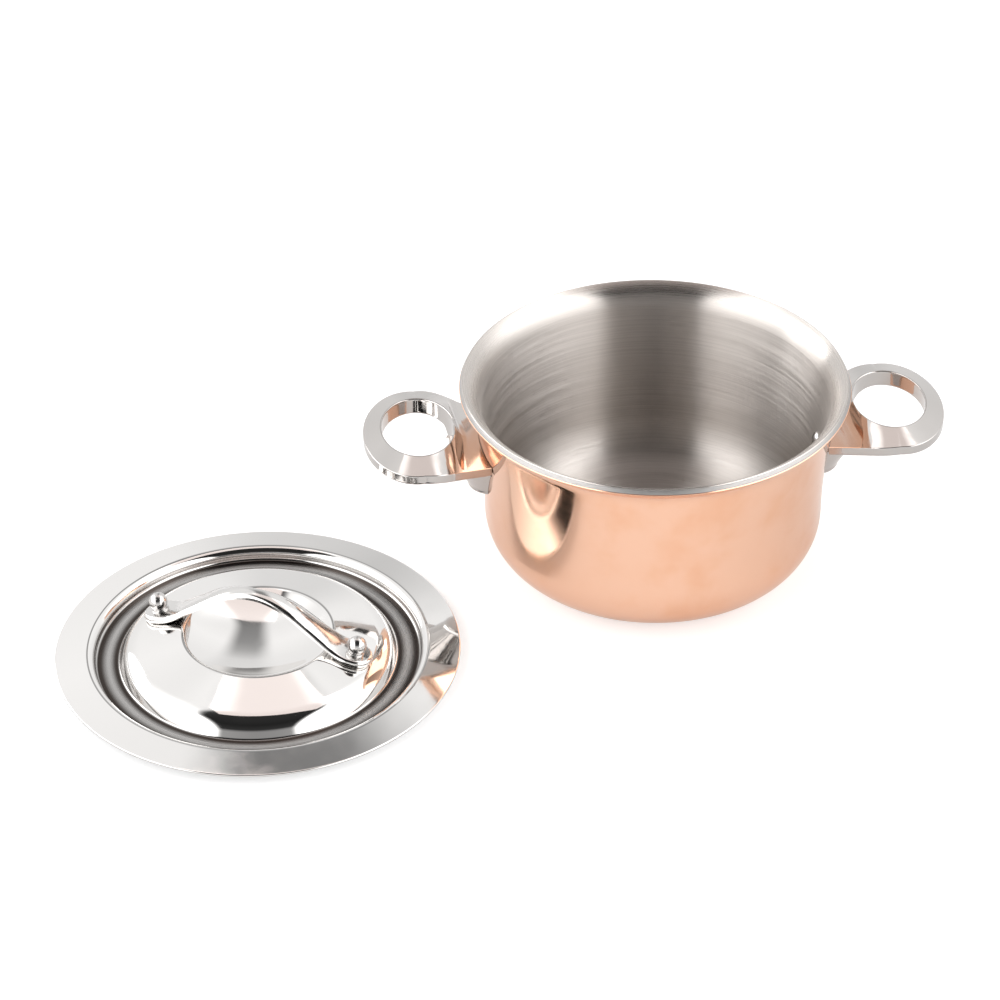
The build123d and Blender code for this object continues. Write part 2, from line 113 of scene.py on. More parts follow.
class HandleSizes(bpy.types.PropertyGroup):
    """Ring handle, measured from the pan's axis along the handle"""

    ring_centre: length("Ring centre", 70.9, "Distance from the pan's axis to the ring's middle")
    shoulder_length: length("Shoulder half length", 18.2, "Half length of the shoulders' oval")
    half_width: length("Half width", 23.8, "Half width of the ring")
    toe_centre: length("Toe centre", 74.3, "Middle of the oval of the ring's outer edge")
    toe_length: length("Toe half length", 15.6, "Half length of the oval of the outer edge")
    hole_centre: length("Hole centre", 73.1, "Distance from the pan's axis to the hole's middle")
    hole_length: length("Hole half length", 11.1, "Half length of the finger hole")
    hole_width: length("Hole half width", 15.7, "Half width of the finger hole")
    land: length("Land", 0.5, "Flat round the top of the finger hole")
    flank_reach: length("Flank reach", 63.93, "Where the straight flank leaves the shoulder")
    flank_width: length("Flank half width", 22.07, "Half width where the flank leaves the shoulder")
    neck_reach: length("Neck reach", 50.3, "Where the neck's drawing starts, inside the wall")
    neck_width: length("Neck half width", 15.02, "Half width of the neck at its start")
    top: length("Ring top", 50.3, "Height of the ring's top")
    ridge: length("Ridge", 48.05, "Height of the ridge round the ring")
    cut_height: length("Cut height", 44.85, "Height at which the ring's outline meets the wall")
    wall_gap: length("Wall gap", 0.02, "Gap between the casting and the wall at that height")
    wall_ridge: length("Neck top", 44.25, "Height of the neck's top beside the wall")
    wall_ridge_reach: length("Neck top reach", 52.4, "Reach at which that height is measured")
    neck_slope: share("Neck slope", 0.247, "Rise of the neck's top for each unit of reach")
    ridge_blend: length("Ridge blend", 1.2, "Softness of the turn where the neck's top levels out")
    band: length("Band", 3.2, "Thickness of the ring and the neck below the ridge")
    ridge_round: length("Ridge round", 0.3, "Rounding of the ridge")
    side_round: length("Side round", 0.8, "Rounding of the side's lower edge")
    seated_round: length("Seated round", 0.1, "The same rounding where the casting meets the wall")
    hole_round: length("Hole round", 0.35, "Rounding of the hole's upper edge")
    hole_soft: length("Hole soft edge", 0.6, "Rounding of the hole's lower edge")
    foot_axis: length("Foot axis", 50.6, "Distance from the pan's axis to the foot's axis")
    foot_radius: length("Foot radius", 7.5, "Radius of the foot's lower end")
    foot_bottom: length("Foot bottom", 27.9, "Height of the foot's lower end")
    foot_collar: length("Foot collar", 1.8, "Straight height at the foot's lower end")
    waist_radius: length("Waist radius", 11.0, "Radius of the foot halfway up its flare")
    waist_height: length("Waist height", 35.9, "Height halfway up the foot's flare")
    flare_radius: length("Foot flare radius", 16.8, "Radius of the foot's upper end")
    flare_height: length("Foot flare height", 44.3, "Height of the foot's upper end")
    flare_margin: length("Foot flare margin", 3.0, "How far past its upper end the flare is followed")
    flare_start: length("Foot flare start", 10.0, "Where the neck's underside begins to follow the flare")
    under_blend: length("Underside blend", 0.8, "Softness of the turn from flare to underside")
    foot_round: length("Foot round", 1.6, "Rounding of the foot's lower edge")
    foot_gap: length("Foot gap", 0.04, "Gap between the foot and the wall")
    foot_top: length("Foot top", 41.6, "Height at which the foot ends inside the neck")
    tuck_height: length("Tuck height", 38.3, "Height at which the foot goes just inside the neck")
    tuck_run: length("Tuck run", 1.2, "Height over which it does so")
    tuck: length("Tuck", 0.03, "How far inside the neck's face it goes")
    scoop_reach: length("Scoop reach", 61.6, "Where the scoop over the neck starts")
    scoop_run: length("Scoop run", 3.7, "How far the scoop's curve runs towards the pan")
    scoop_top: length("Scoop top", 50.6, "Height at which the scoop's curve starts")
    scoop_sweep: share("Scoop sweep", 0.1, "How much farther out it starts per unit to the side")
    rivet_height: length("Rivet height", 36.4, "Height of the handle's rivet")
    rivet_shank: length("Rivet shank", 2.0, "Radius of the rivet's shank")
    rivet_head: length("Rivet head", 2.9, "Radius of the rivet's domed head")
    rivet_rise: length("Rivet rise", 1.5, "Height of the domed head over the lining")
    rivet_grip: length("Rivet grip", 3.0, "Casting between the wall and the rivet's tail")
    tail_rise: length("Tail rise", 0.9, "Height of the rivet's domed tail")


class LidSizes(bpy.types.PropertyGroup):
    """Pressed lid, its strap and its ball rivets, measured from the lid's axis"""

    reach_x: length("Lid place along X", -126.01, "Place of the lid's axis along X")
    reach_y: length("Lid place along Y", -44.4, "Place of the lid's axis along Y")
    sheet: length("Sheet", 0.9, "Thickness of the lid's sheet")
    edge_round: length("Edge round", 0.3, "Rounding of the lid's cut edge")
    dish_reach: length("Dish radius", 10.426, "Where the floor of the middle dish ends")
    dish_height: length("Dish height", 4.719, "Height of the dish's floor")
    dish_round: length("Dish round", 50.0, "Radius of the dish's hollow curve")
    dome_reach: length("Dome radius", 22.599, "Radius of the crease round the dish")
    dome_height: length("Dome height", 9.75, "Height of that crease")
    dome_round: length("Dome round", 3.0, "Rounding of that crease")
    shoulder_reach: length("Shoulder radius", 36.905, "Where the dome begins to turn down")
    shoulder_height: length("Shoulder height", 6.315, "Height of the dome there")
    shoulder_round: length("Shoulder round", 8.0, "Radius of the dome's turn there")
    heel_reach: length("Heel radius", 39.805, "Where the dome falls into the gutter")
    heel_height: length("Heel height", 4.7, "Height of the dome there")
    heel_round: length("Heel round", 7.0, "Radius of the dome's turn there")
    gutter_start: length("Gutter start", 42.005, "Inner radius of the gutter's floor")
    gutter_start_round: length("Gutter start round", 0.8, "Rounding at the gutter's inner side")
    gutter_end: length("Gutter end", 49.139, "Outer radius of the gutter's floor")
    gutter_end_round: length("Gutter end round", 1.0, "Rounding at the gutter's outer side")
    flange_reach: length("Flange start", 49.705, "Radius at which the flange starts")
    flange_height: length("Flange height", 4.934, "Height of the flange's start")
    flange_round: length("Flange round", 2.4, "Rounding where the flange starts")
    rim_reach: length("Rim radius", 61.307, "Radius of the lid")
    rim_height: length("Rim height", 3.2, "Height of the flange's upper face at its edge")
    strap_turn: turn("Strap turn", -25.9, "Turn of the strap about the lid's axis")
    strap_thickness: length("Strap thickness", 2.4, "Thickness of the strap")
    pad_radius: length("Pad radius", 5.3, "Radius of the strap's round ends")
    pad_reach: length("Pad reach", 31.955, "Distance from the lid's axis to a pad's middle")
    pad_height: length("Pad height", 10.02, "Height of the upper face at a pad's middle")
    pad_slope: turn("Pad slope", 13.5, "Slope of the dome under the pads")
    bend_inset: length("Bend inset", 4.5, "Distance from a pad's middle to the strap's bend")
    bend_radius: length("Bend radius", 14.7, "Radius of the bend beside a pad")
    crest_radius: length("Crest radius", 26.17, "Radius of the strap's arch")
    crest_height: length("Crest height", 24.5, "Height of the top of the arch")
    waist: length("Waist", 2.7, "Half width of the strap at the top of its arch")
    crown: length("Crown", 0.8, "How far the arch's upper face is crowned")
    edge_soft: length("Soft edge", 1.05, "Rounding of the strap's edges")
    ball: length("Ball", 2.8, "Radius of a rivet's ball")
    ball_neck: length("Ball neck", 2.0, "Radius of the neck under the ball")
    ball_neck_height: length("Ball neck height", 0.7, "Height of that neck over the pad")
    collar: length("Collar", 2.6, "Radius of the collar round the neck")
    collar_height: length("Collar height", 0.4, "Height of that collar")
    shank: length("Shank", 1.5, "Radius of the rivet's shank")
    tail: length("Tail", 2.3, "Radius of the rivet's tail under the sheet")
    tail_seat: length("Tail seat", 3.47, "Depth of the tail's seat below the pad's face")
    tail_rise: length("Tail rise", 0.9, "Height of the domed tail")


class Finishes(bpy.types.PropertyGroup):
    """Colours of the metals"""

    copper: colour("Copper", "#F7CAAF", "Polished copper")
    copper_warm: colour("Warm copper", "#F0B48E", "First faint tarnish of the copper")
    lining: colour("Lining", "#CFC9C4", "Brushed stainless lining")
    core: colour("Core", "#A9A6A4", "Cut edge of the aluminium ply")
    casting: colour("Casting", "#C4C0BD", "Polished stainless casting")
    lid: colour("Lid", "#E6E4E2", "Polished pressed steel")
    # painted shade: this dark colour paints the shade between the gutter's walls into its steel; the
    # satin roughness is the real finish
    gutter: colour("Gutter", "#463F3B", "Satin ring that the polishing wheel leaves in the gutter")
    strap: colour("Strap", "#D6D4D2", "Tumbled and polished strip")
    rivet: colour("Rivet", "#C9C7C5", "Tumbled rivet steel")


class StudioSettings(bpy.types.PropertyGroup):
    """Camera, floor and lights"""

    floor_glow: share("Floor glow", 0.55, "Light added to the floor that the camera sees")
    mirror_glow: share("Mirrored glow", 0.22, "Light added to the floor that metal mirrors")
    near_glow: FloatProperty(
        name="Near glow",
        description="Light added to the walls on the camera's side of the room",
        default=1.6,
        min=0,
    )
    camera_x: length("Camera X", -137.53, "Place of the camera along X")
    camera_y: length("Camera Y", -930.34, "Place of the camera along Y")
    camera_z: length("Camera Z", 666.7, "Height of the camera")
    heading: turn("Heading", 5.5, "How far the camera looks to the right of the Y axis")
    pitch: turn("Pitch", 34.63, "How far the camera looks down")
    roll: turn("Roll", -0.431, "Turn of the camera about its own axis")
    focal: FloatProperty(
        name="Focal length",
        description="Focal length in millimetres on a sensor 36 mm wide",
        default=131.36,
        subtype="DISTANCE_CAMERA",
    )
    key_power: FloatProperty(
        name="Key power", description="Power of the overhead softbox", default=2.2, unit="POWER"
    )
    side_power: FloatProperty(
        name="Side power", description="Power of the low softbox on the left", default=3.0, unit="POWER"
    )


SETTINGS = {
    "pan_sizes": PanSizes,
    "handle_sizes": HandleSizes,
    "lid_sizes": LidSizes,
    "finishes": Finishes,
    "studio": StudioSettings,
}


# Shapes as arrays


def smooth_min(a, b, blend):
    """The lower of two heights, with a quadratic blend where they differ by less than the blend."""
    mix = np.clip(0.5 + 0.5 * (b - a) / blend, 0, 1)
    return b * (1 - mix) + a * mix - blend * mix * (1 - mix)


def arc(centre, radius, start, end, count):
    """Points of a circle's arc, evenly spaced by angle from start to end."""
    angles = np.linspace(start, end, count)
    return np.stack([centre[0] + radius * np.cos(angles), centre[1] + radius * np.sin(angles)], 1)


def rounded_path(corners, radii, step=radians(5), run=1.0):
    """Straight runs between corners, each inner corner turned into an arc that touches both runs:
    the arc's centre lies on the corner's bisector at radius / cos(half the turn). The arc's points
    lie no more than a step of angle or a run of length apart."""
    corners = np.asarray(corners, float)
    parts = [corners[:1]]
    for before, corner, after, radius in zip(corners, corners[1:], corners[2:], radii):
        back = (before - corner) / np.linalg.norm(before - corner)
        ahead = (after - corner) / np.linalg.norm(after - corner)
        half = acos(np.clip(-back @ ahead, -1, 1)) / 2
        middle = (back + ahead) / np.linalg.norm(back + ahead)
        centre = corner + middle * radius / cos(half)
        first = corner + back * radius * tan(half) - centre
        side = np.sign(ahead[0] * back[1] - ahead[1] * back[0])
        begin = atan2(first[1], first[0])
        count = max(4, ceil(2 * half / min(step, run / radius)) + 1)
        parts.append(arc(centre, radius, begin, begin + side * 2 * half, count))
    parts.append(corners[-1:])
    return np.vstack(parts)


def parallel(path, distance):
    """The path moved sideways by a distance to its right, along the mean normal at each point."""
    runs = np.diff(path, axis=0)
    runs = runs / np.linalg.norm(runs, axis=1)[:, None]
    normals = np.stack([runs[:, 1], -runs[:, 0]], 1)
    before = np.vstack([normals[:1], normals])
    after = np.vstack([normals, normals[-1:]])
    return path + (before + after) * (distance / (1 + (before * after).sum(1)))[:, None]


def supported(path, gap=0.25 * MM, spacing=3.5 * MM):
    """The path with extra points near the ends of its long runs, and evenly between those, so
    that shading stays flat up to where a bend starts."""
    parts = []
    for start, end in zip(path, path[1:]):
        run = np.linalg.norm(end - start)
        shares = [0.0]
        if run > 4 * gap:
            inner = max(2, ceil((run - 2 * gap) / spacing) + 1)
            shares += list(np.linspace(gap / run, 1 - gap / run, inner))
        parts.append(start + (end - start) * np.array(shares)[:, None])
    return np.vstack(parts + [path[-1:]])


def grid_faces(rows, columns, close_rows=False, close_columns=True):
    """Quads between the neighbours in a grid of points, whose rows and columns may close round."""
    row_count = rows if close_rows else rows - 1
    column_count = columns if close_columns else columns - 1
    row, column = np.meshgrid(np.arange(row_count), np.arange(column_count), indexing="ij")
    next_row, next_column = (row + 1) % rows, (column + 1) % columns
    quads = [row * columns + column, row * columns + next_column]
    quads += [next_row * columns + next_column, next_row * columns + column]
    return np.stack(quads, -1).reshape(-1, 4)


def fan_faces(pole, first, columns, upper):
    """Triangles from one point to a closed row of points that starts at the index first."""
    column = np.arange(columns)
    here, following = first + column, first + (column + 1) % columns
    pair = (here, following) if upper else (following, here)
    return np.stack([*pair, np.full(columns, pole)], -1)


def tube_faces(rows, columns):
    """Faces of a tube of closed rows, with a fan at each end to the two points after the rows."""
    return [
        grid_faces(rows, columns),
        fan_faces(rows * columns, 0, columns, False),
        fan_faces(rows * columns + 1, (rows - 1) * columns, columns, True),
    ]


def lathe(profile, origin=(0, 0, 0), along=(0, 0, 1), first=(1, 0, 0), columns=240):
    """Turns a profile of radius r and height h about an axis: at an angle a the point is
    r cos a along the first direction, r sin a along the second and h along the axis. The profile
    starts and ends on the axis and has the outside on its right."""
    along, first = np.asarray(along, float), np.asarray(first, float)
    second = np.cross(along, first)
    angles = np.arange(columns) * 2 * pi / columns
    around = np.cos(angles)[:, None] * first + np.sin(angles)[:, None] * second
    rings = profile[1:-1, 0][:, None, None] * around + profile[1:-1, 1][:, None, None] * along
    poles = profile[[0, -1], 1][:, None] * along
    points = np.vstack([rings.reshape(-1, 3), poles]) + np.asarray(origin, float)
    return points, tube_faces(len(profile) - 2, columns)


def add_piece(name, body, node, shapes, material):
    """Makes one object from several closed shapes and sets it on the frame."""
    points, faces, start = [], [], 0
    for shape_points, shape_faces in shapes:
        for block in shape_faces:
            faces += (block + start).tolist()
        points.append(shape_points)
        start += len(shape_points)
    mesh = bpy.data.meshes.new(name)
    mesh.from_pydata(np.vstack(points).tolist(), [], faces)
    mesh.shade_smooth()
    mesh.set_sharp_from_angle(angle=radians(32))
    mesh.materials.append(material)
    piece = bpy.data.objects.new(name, mesh)
    bpy.context.scene.collection.objects.link(piece)
    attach(piece, body)
    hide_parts(node)
    return piece


def close_seams(piece):
    """Joins the points that two edges of a grid share."""
    mesh = bmesh.new()
    mesh.from_mesh(piece.data)
    bmesh.ops.remove_doubles(mesh, verts=mesh.verts, dist=0.002 * MM)
    bmesh.ops.recalc_face_normals(mesh, faces=mesh.faces)
    mesh.to_mesh(piece.data)
    mesh.free()


def mirrored(shape):
    """The shape reflected to the other side of the pan, its faces turned to look outwards."""
    points, faces = shape
    return points * np.array([-1, 1, 1]), [block[:, ::-1] for block in faces]


# The pan's wall


def wall_reach(sizes, height, depth=0):
    """Radius of the leaning wall at a height, on the face at a depth below its copper face."""
    centre = sizes.base_flat_radius + sizes.corner_radius + sizes.lean_radius
    return centre - np.sqrt((sizes.lean_radius + depth) ** 2 - (height - sizes.belly_top) ** 2)


def wall_line(sizes, depth):
    """Radius and height of the wall's section at a depth below its copper face: base, corner arc,
    a slow outward lean and the flare, which share their tangents where they meet; the lip is cut
    square to the sheet."""
    belly = sizes.base_flat_radius + sizes.corner_radius
    lean_centre = np.array([belly + sizes.lean_radius, sizes.belly_top])
    thickness = sizes.copper + sizes.core + sizes.lining
    inner = sizes.flare_radius + thickness
    lip = asin(sizes.lip_inset / sizes.flare_radius)
    flare_height = sizes.pan_height - inner * cos(lip)
    far = sizes.lean_radius - sizes.flare_radius
    rise = flare_height - sizes.belly_top
    flare_centre = np.array([lean_centre[0] - sqrt(far**2 - rise**2), flare_height])
    lean_turn = asin(rise / far)
    base = np.array([[0.0, depth]])
    corner_centre = (sizes.base_flat_radius, sizes.corner_radius)
    corner = arc(corner_centre, sizes.corner_radius - depth, -pi / 2, 0, 26)
    lean = arc(lean_centre, sizes.lean_radius + depth, pi, pi - lean_turn, 42)
    flare = arc(flare_centre, sizes.flare_radius + depth, pi - lean_turn, pi / 2 + lip, 26)
    return np.vstack([base, corner, lean, flare[1:]])


def ply_profile(sizes, outer_depth, inner_depth, outer_round, inner_round):
    """Section of one ply: out along its outer face, round the two corners of its cut edge and
    back along its inner face."""
    outer = wall_line(sizes, outer_depth)
    inner = wall_line(sizes, inner_depth)[::-1]
    corners = [outer[-2], outer[-1], inner[0], inner[1]]
    lip = rounded_path(corners, [outer_round, inner_round], radians(15))
    return supported(np.vstack([outer[:-2], lip, inner[2:]]), gap=0.3 * MM)


# The ring handles


def oval_reach(origin, centre, half_length, half_width, angles):
    """Distance from a point on the handle's middle line to an oval, along each angle."""
    c, s, offset = np.cos(angles), np.sin(angles), origin - centre
    a = (c / half_length) ** 2 + (s / half_width) ** 2
    b = offset * c / half_length**2
    return (-b + np.sqrt(b**2 - a * ((offset / half_length) ** 2 - 1))) / a


def foot_circle(sizes):
    """Centre and radius of the trumpet's hollow side: the circle through the top of the collar,
    the waist and the upper end."""
    x1, y1 = sizes.foot_radius, sizes.foot_bottom + sizes.foot_collar
    x2, y2 = sizes.waist_radius, sizes.waist_height
    x3, y3 = sizes.flare_radius, sizes.flare_height
    rows = np.array([[x2 - x1, y2 - y1], [x3 - x1, y3 - y1]])
    sums = np.array([x2**2 - x1**2 + y2**2 - y1**2, x3**2 - x1**2 + y3**2 - y1**2]) / 2
    centre = np.linalg.solve(rows, sums)
    return centre, np.hypot(x1 - centre[0], y1 - centre[1])


def foot_height(sizes, reach):
    """Height of the foot's trumpet at a distance from its axis."""
    centre, radius = foot_circle(sizes)
    sideways = np.minimum(reach, centre[0]) - centre[0]
    return centre[1] + np.sqrt(np.maximum(radius**2 - sideways**2, 0))


def ridge_height(sizes, along):
    """Height of the neck's floor and of the ridge: a straight rise that levels out."""
    rise = sizes.wall_ridge + sizes.neck_slope * (along - sizes.wall_ridge_reach)
    return smooth_min(rise, np.full_like(rise, sizes.ridge), sizes.ridge_blend)


def scoop_height(sizes, along, across):
    """Height of the scoop over the neck: a quarter of a circle, stretched, that falls towards the
    pan from its start to the ridge's height and starts farther out at the sides."""
    start = sizes.scoop_reach + sizes.scoop_sweep * across
    run = (start - along) / sizes.scoop_run
    curve = 1 - np.sqrt(np.clip(1 - (1 - np.clip(run, 0, 1)) ** 2, 0, 1))
    floor = ridge_height(sizes, along)
    return np.where(run > 0, floor + (sizes.scoop_top - floor) * curve, FAR)


def under_height(sizes, along, across):
    """Height of the underside: a band below the ridge, or the foot's trumpet where that is lower."""
    from_foot = np.hypot(along - sizes.foot_axis, across)
    trumpet = foot_height(sizes, np.maximum(from_foot, sizes.flare_start))
    trumpet = np.where(from_foot > sizes.flare_radius + sizes.flare_margin, FAR, trumpet)
    return smooth_min(ridge_height(sizes, along) - sizes.band, trumpet, sizes.under_blend)


def ring_plan(pan, sizes):
    """Plan of the ring from the middle of its hole: the angles, and for each angle the reach of
    the hole, of the land round it and of the outline, and whether the wall cuts the outline. The
    outline is the farthest of two ovals and a straight flank. Each is a column of values."""
    hole, width = sizes.hole_centre, sizes.half_width
    rate = (sizes.flank_width - sizes.neck_width) / (sizes.flank_reach - sizes.neck_reach)
    wall = float(wall_reach(pan, sizes.cut_height)) + sizes.wall_gap
    flank_level = sizes.flank_width + rate * (hole - sizes.flank_reach)
    # the corner between flank and wall has an angle of its own on each side
    a, b = 1 + rate**2, rate * (flank_level - rate * hole)
    c = (flank_level - rate * hole) ** 2 - wall**2
    corner_reach = (-b + sqrt(b**2 - a * c)) / a
    corner = atan2(flank_level + rate * (corner_reach - hole), corner_reach - hole)
    corner_angles = corner + np.array([-1, 0, 1]) * 0.0015
    angles = np.linspace(-pi, pi, 440, endpoint=False)
    angles = np.unique(np.concatenate([angles, corner_angles, -corner_angles]))[:, None]
    cosine, sine = np.cos(angles), np.sin(angles)
    inside = oval_reach(hole, hole, sizes.hole_length, sizes.hole_width, angles)
    land_length, land_width = sizes.hole_length + sizes.land, sizes.hole_width + sizes.land
    land = oval_reach(hole, hole, land_length, land_width, angles)
    toe = oval_reach(hole, sizes.toe_centre, sizes.toe_length, width, angles)
    shoulder = oval_reach(hole, sizes.ring_centre, sizes.shoulder_length, width, angles)
    flank = flank_level / np.maximum(np.abs(sine) - rate * cosine, 1e-6)
    flank = np.where(hole + flank * cosine < sizes.flank_reach, flank, 0)
    free = np.maximum(np.maximum(toe, shoulder), flank)
    # the wall's circle is met only by angles that look towards it
    under_root = wall**2 - (hole * sine) ** 2
    touch = -hole * cosine - np.sqrt(np.maximum(under_root, 0))
    touch = np.where((under_root > 0) & (cosine < 0), touch, FAR)
    return angles, inside, land, np.minimum(free, touch), touch < free


def handle_ring(pan, sizes):
    """Ring, shoulders and neck as section loops round the finger hole, one for each angle: up
    the hole's wall, over its land, down the bevel or into the scoop, round the ridge, down the
    side, round the lower edge and back along the underside. Heights are functions of the place
    in plan."""
    angles, inside, land, outline, on_wall = ring_plan(pan, sizes)
    hole, cosine, sine = sizes.hole_centre, np.cos(angles), np.sin(angles)
    outline_level = ridge_height(sizes, hole + outline * cosine)

    def bevel_at(reach):
        run = (reach - land) / (outline - land)
        return sizes.top + (outline_level - sizes.top) * np.clip(run, 0, None)

    def scoop_at(reach):
        return scoop_height(sizes, hole + reach * cosine, np.abs(reach * sine))

    def under_at(reach):
        return under_height(sizes, hole + reach * cosine, reach * sine)

    # top: the crease between bevel and scoop falls on a row of its own
    last = outline - sizes.ridge_round
    shares = np.linspace(0, 1, 400)
    trial = land + (last - land) * shares
    below = scoop_at(trial) < bevel_at(trial)
    crossing = np.where(below.any(1), shares[below.argmax(1)], 1)[:, None]
    crease = land + (last - land) * np.clip(crossing, 0.02, 0.97)
    land_shares = np.array([1, 0.5, 0])
    bevel_shares = np.array([0.02, 0.06, *np.linspace(0.12, 0.88, 16), 0.94, 0.98, 1])
    scoop_shares = np.array(
        [0.006, 0.02, *np.linspace(0.04, 0.3, 14), *np.linspace(0.34, 0.94, 18), 0.98, 1]
    )
    top_rows = [
        land + (inside + sizes.hole_round - land) * land_shares,
        land + (crease - land) * bevel_shares,
        crease + (last - crease) * scoop_shares,
    ]
    top_reach = np.hstack(top_rows)
    top_level = np.minimum(bevel_at(top_reach), scoop_at(top_reach))

    # rounded ridge, side and lower edge
    quarter = np.linspace(0, pi / 2, 6)[1:]
    ridge_reach = last + sizes.ridge_round * np.sin(quarter)
    ridge_level = top_level[:, -1:] - sizes.ridge_round * (1 - np.cos(quarter))
    side_height = ridge_level[:, -1:] - under_at(last)
    most_share = 0.62
    lower = np.minimum(sizes.side_round, most_share * side_height)
    lower = np.where(on_wall, sizes.seated_round, lower)
    low_reach = outline - lower * (1 - np.cos(quarter))
    under_edge = under_at(outline - lower)
    low_level = under_edge + lower * (1 - np.sin(quarter))
    side_top, side_shares = ridge_level[:, -1:], np.array([0.12, 0.5, 0.88, 1])
    side_level = side_top + (under_edge + lower - side_top) * side_shares
    side_reach = outline + 0 * side_level

    # underside and the hole's wall
    start, end = outline - lower, inside + sizes.hole_soft
    under_shares = np.array([0.02, 0.06, *np.linspace(0.1, 0.9, 34), 0.95, 1])
    under_reach = start + (end - start) * under_shares
    under_level = under_at(under_reach)
    hole_reach = inside + sizes.hole_soft * (1 - np.sin(quarter))
    hole_level = under_level[:, -1:] + sizes.hole_soft * (1 - np.cos(quarter))
    hole_bottom, hole_top = hole_level[:, -1:], sizes.top - sizes.hole_round
    inner_level = hole_bottom + (hole_top - hole_bottom) * np.array([0.1, 0.5, 0.9, 1])
    inner_reach = inside + 0 * inner_level
    lip_reach = inside + sizes.hole_round * (1 - np.cos(quarter[:-1]))
    lip_level = hole_top + sizes.hole_round * np.sin(quarter[:-1]) + 0 * inside

    rows = (
        (inner_reach, inner_level),
        (lip_reach, lip_level),
        (top_reach, top_level),
        (ridge_reach, ridge_level),
        (side_reach, side_level),
        (low_reach, low_level),
        (under_reach, under_level),
        (hole_reach, hole_level),
    )
    reach, level = (np.hstack(parts) for parts in zip(*rows))
    points = np.stack([hole + reach * cosine, reach * sine, level], -1)
    faces = grid_faces(*level.shape, close_rows=True)[:, ::-1]
    return points.reshape(-1, 3), [faces]


def handle_foot(pan, sizes):
    """Lower part of the foot as level loops: an arc of the trumpet outside the wall, closed
    along the wall, from the rounded lower edge up into the neck. Inside the neck it stays just
    below the neck's own face."""
    centre, radius = foot_circle(sizes)
    soft_centre = (sizes.foot_radius - sizes.foot_round, sizes.foot_bottom + sizes.foot_round)
    soft = arc(soft_centre, sizes.foot_round, -pi / 2, 0, 9)
    collar = sizes.foot_bottom + sizes.foot_collar
    rise = np.linspace(collar - 0.3 * MM, sizes.foot_top, 26)
    flare = centre[0] - np.sqrt(radius**2 - (np.maximum(rise, collar) - centre[1]) ** 2)
    tuck = np.clip((rise - sizes.tuck_height) / sizes.tuck_run, 0, 1) * sizes.tuck
    rows = np.vstack([soft, np.stack([flare - tuck, rise], 1)])
    reach, height = rows[:, :1], rows[:, 1:]
    wall = wall_reach(pan, height) + sizes.foot_gap
    opening = (wall**2 - sizes.foot_axis**2 - reach**2) / (2 * sizes.foot_axis * reach)
    span = np.linspace(-1, 1, 73) * np.arccos(np.clip(opening, -1, 1))
    outer_x, outer_y = sizes.foot_axis + reach * np.cos(span), reach * np.sin(span)
    limit = np.arctan2(outer_y[:, -1:], outer_x[:, -1:])
    back = np.linspace(1, -1, 25)[1:-1] * limit
    x = np.hstack([outer_x, wall * np.cos(back)])
    y = np.hstack([outer_y, wall * np.sin(back)])
    points = np.stack([x, y, height + 0 * x], -1)
    ends = points[[0, -1]].mean(1)
    return np.vstack([points.reshape(-1, 3), ends]), tube_faces(*x.shape)


def dome(radius, rise, count=12):
    """Section of a shallow dome from its top to its rim, as radius and depth below the top."""
    ball = (radius**2 + rise**2) / (2 * rise)
    angles = np.linspace(0, asin(radius / ball), count)
    return np.stack([ball * np.sin(angles), ball * (1 - np.cos(angles))], 1)


def handle_rivet(pan, sizes, side):
    """Rivet turned about a level axis: domed head on the lining, shank, domed tail."""
    thickness = pan.copper + pan.core + pan.lining
    seat = float(wall_reach(pan, sizes.rivet_height, thickness))
    tail = float(wall_reach(pan, sizes.rivet_height)) + sizes.rivet_grip
    head = dome(sizes.rivet_head, sizes.rivet_rise) + [0, seat - sizes.rivet_rise]
    sunk = seat + 0.6 * MM
    shank = [
        [sizes.rivet_head, sunk],
        [sizes.rivet_shank, sunk],
        [sizes.rivet_shank, tail],
        [sizes.rivet_head, tail],
    ]
    end = dome(sizes.rivet_head, sizes.tail_rise)[::-1] * [1, -1] + [0, tail + sizes.tail_rise]
    profile = np.vstack([head, shank, end[1:]])
    return lathe(profile, (0, 0, sizes.rivet_height), (side, 0, 0), (0, 0, 1), 64)


# The lid


def lid_profile(sizes):
    """Section of the pressed sheet: out along its underside, round its cut edge and back along
    its upper face. The upper face runs straight between corners that arcs round off."""
    corners = [
        (0, sizes.dish_height),
        (sizes.dish_reach, sizes.dish_height),
        (sizes.dome_reach, sizes.dome_height),
        (sizes.shoulder_reach, sizes.shoulder_height),
        (sizes.heel_reach, sizes.heel_height),
        (sizes.gutter_start, sizes.sheet),
        (sizes.gutter_end, sizes.sheet),
        (sizes.flange_reach, sizes.flange_height),
        (sizes.rim_reach, sizes.rim_height),
    ]
    rounds = [
        sizes.dish_round,
        sizes.dome_round,
        sizes.shoulder_round,
        sizes.heel_round,
        sizes.gutter_start_round,
        sizes.gutter_end_round,
        sizes.flange_round,
    ]
    upper = rounded_path(corners, rounds, radians(3), 0.7 * MM)
    lower = parallel(upper, sizes.sheet)
    lower[0, 0] = 0
    run = (upper[-1] - upper[-2]) / np.linalg.norm(upper[-1] - upper[-2])
    down = np.array([run[1], -run[0]])
    inset = run * sizes.edge_round * 1.6
    edge = rounded_path(
        [lower[-1] - inset, upper[-1] + down * sizes.sheet, upper[-1], upper[-1] - inset],
        [sizes.edge_round] * 2,
        radians(15),
    )
    return supported(np.vstack([lower[:-1], edge, upper[-2::-1]]), gap=0.2 * MM)


def strap_axes(sizes):
    """Directions along and across the strap, and the foot of the lid's axis."""
    along = np.array([cos(sizes.strap_turn), sin(sizes.strap_turn), 0])
    across = np.array([-along[1], along[0], 0])
    return along, across, np.array([sizes.reach_x, sizes.reach_y, 0])


